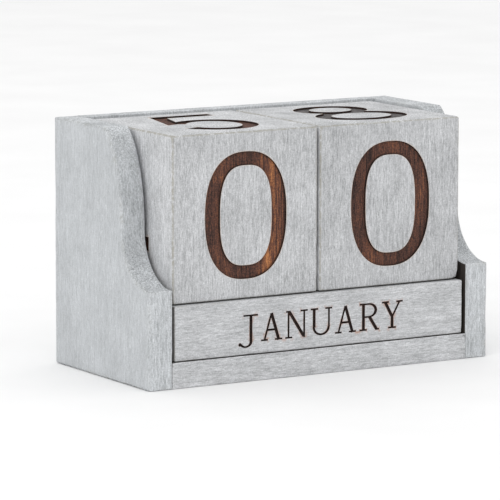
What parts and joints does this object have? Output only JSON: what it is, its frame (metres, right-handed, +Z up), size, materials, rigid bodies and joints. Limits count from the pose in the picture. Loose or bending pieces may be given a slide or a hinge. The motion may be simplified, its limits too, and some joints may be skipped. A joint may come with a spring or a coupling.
{
  "type": "perpetual block desk calendar",
  "caption": "Open wooden tray that holds two engraved number cubes side by side on a row of square month bars; blocks lift or slide out and are turned to show the date.",
  "frame": {"origin": "centre of the tray's underside", "axes": "+Z up, the front faces -Y, +X is to the reader's right"},
  "size_m": [0.1372, 0.066, 0.0864],
  "materials": {
    "tray_wood": "grey-white washed, matte",
    "cube_wood": "grey-white washed, matte, burnt engraving",
    "bar_wood": "grey-white washed, matte, burnt engraving"
  },
  "bodies": {
    "tray": {"left_side_panel": "tray_wood", "right_side_panel": "tray_wood", "back_panel": "tray_wood", "base_panel": "tray_wood"},
    "left_cube": {"left_number_cube": "cube_wood"},
    "right_cube": {"right_number_cube": "cube_wood"},
    "rear_bar": {"rear_month_bar": "bar_wood"},
    "middle_bar": {"middle_month_bar": "bar_wood"},
    "front_bar": {"front_month_bar": "bar_wood"}
  },
  "joints": [
    {"name": "left_cube_lift", "type": "slide", "parent": "tray", "child": "left_cube", "axis": [0, 0, 1], "range_m": [0, 0.065]},
    {"name": "right_cube_lift", "type": "slide", "parent": "tray", "child": "right_cube", "axis": [0, 0, 1], "range_m": [0, 0.065]},
    {"name": "rear_bar_slide", "type": "slide", "parent": "tray", "child": "rear_bar", "axis": [0, -1, 0], "range_m": [0, 0.062]},
    {"name": "middle_bar_slide", "type": "slide", "parent": "rear_bar", "child": "middle_bar", "axis": [0, -1, 0], "range_m": [0, 0.025]},
    {"name": "front_bar_slide", "type": "slide", "parent": "middle_bar", "child": "front_bar", "axis": [0, -1, 0], "range_m": [0, 0.025]}
  ]
}
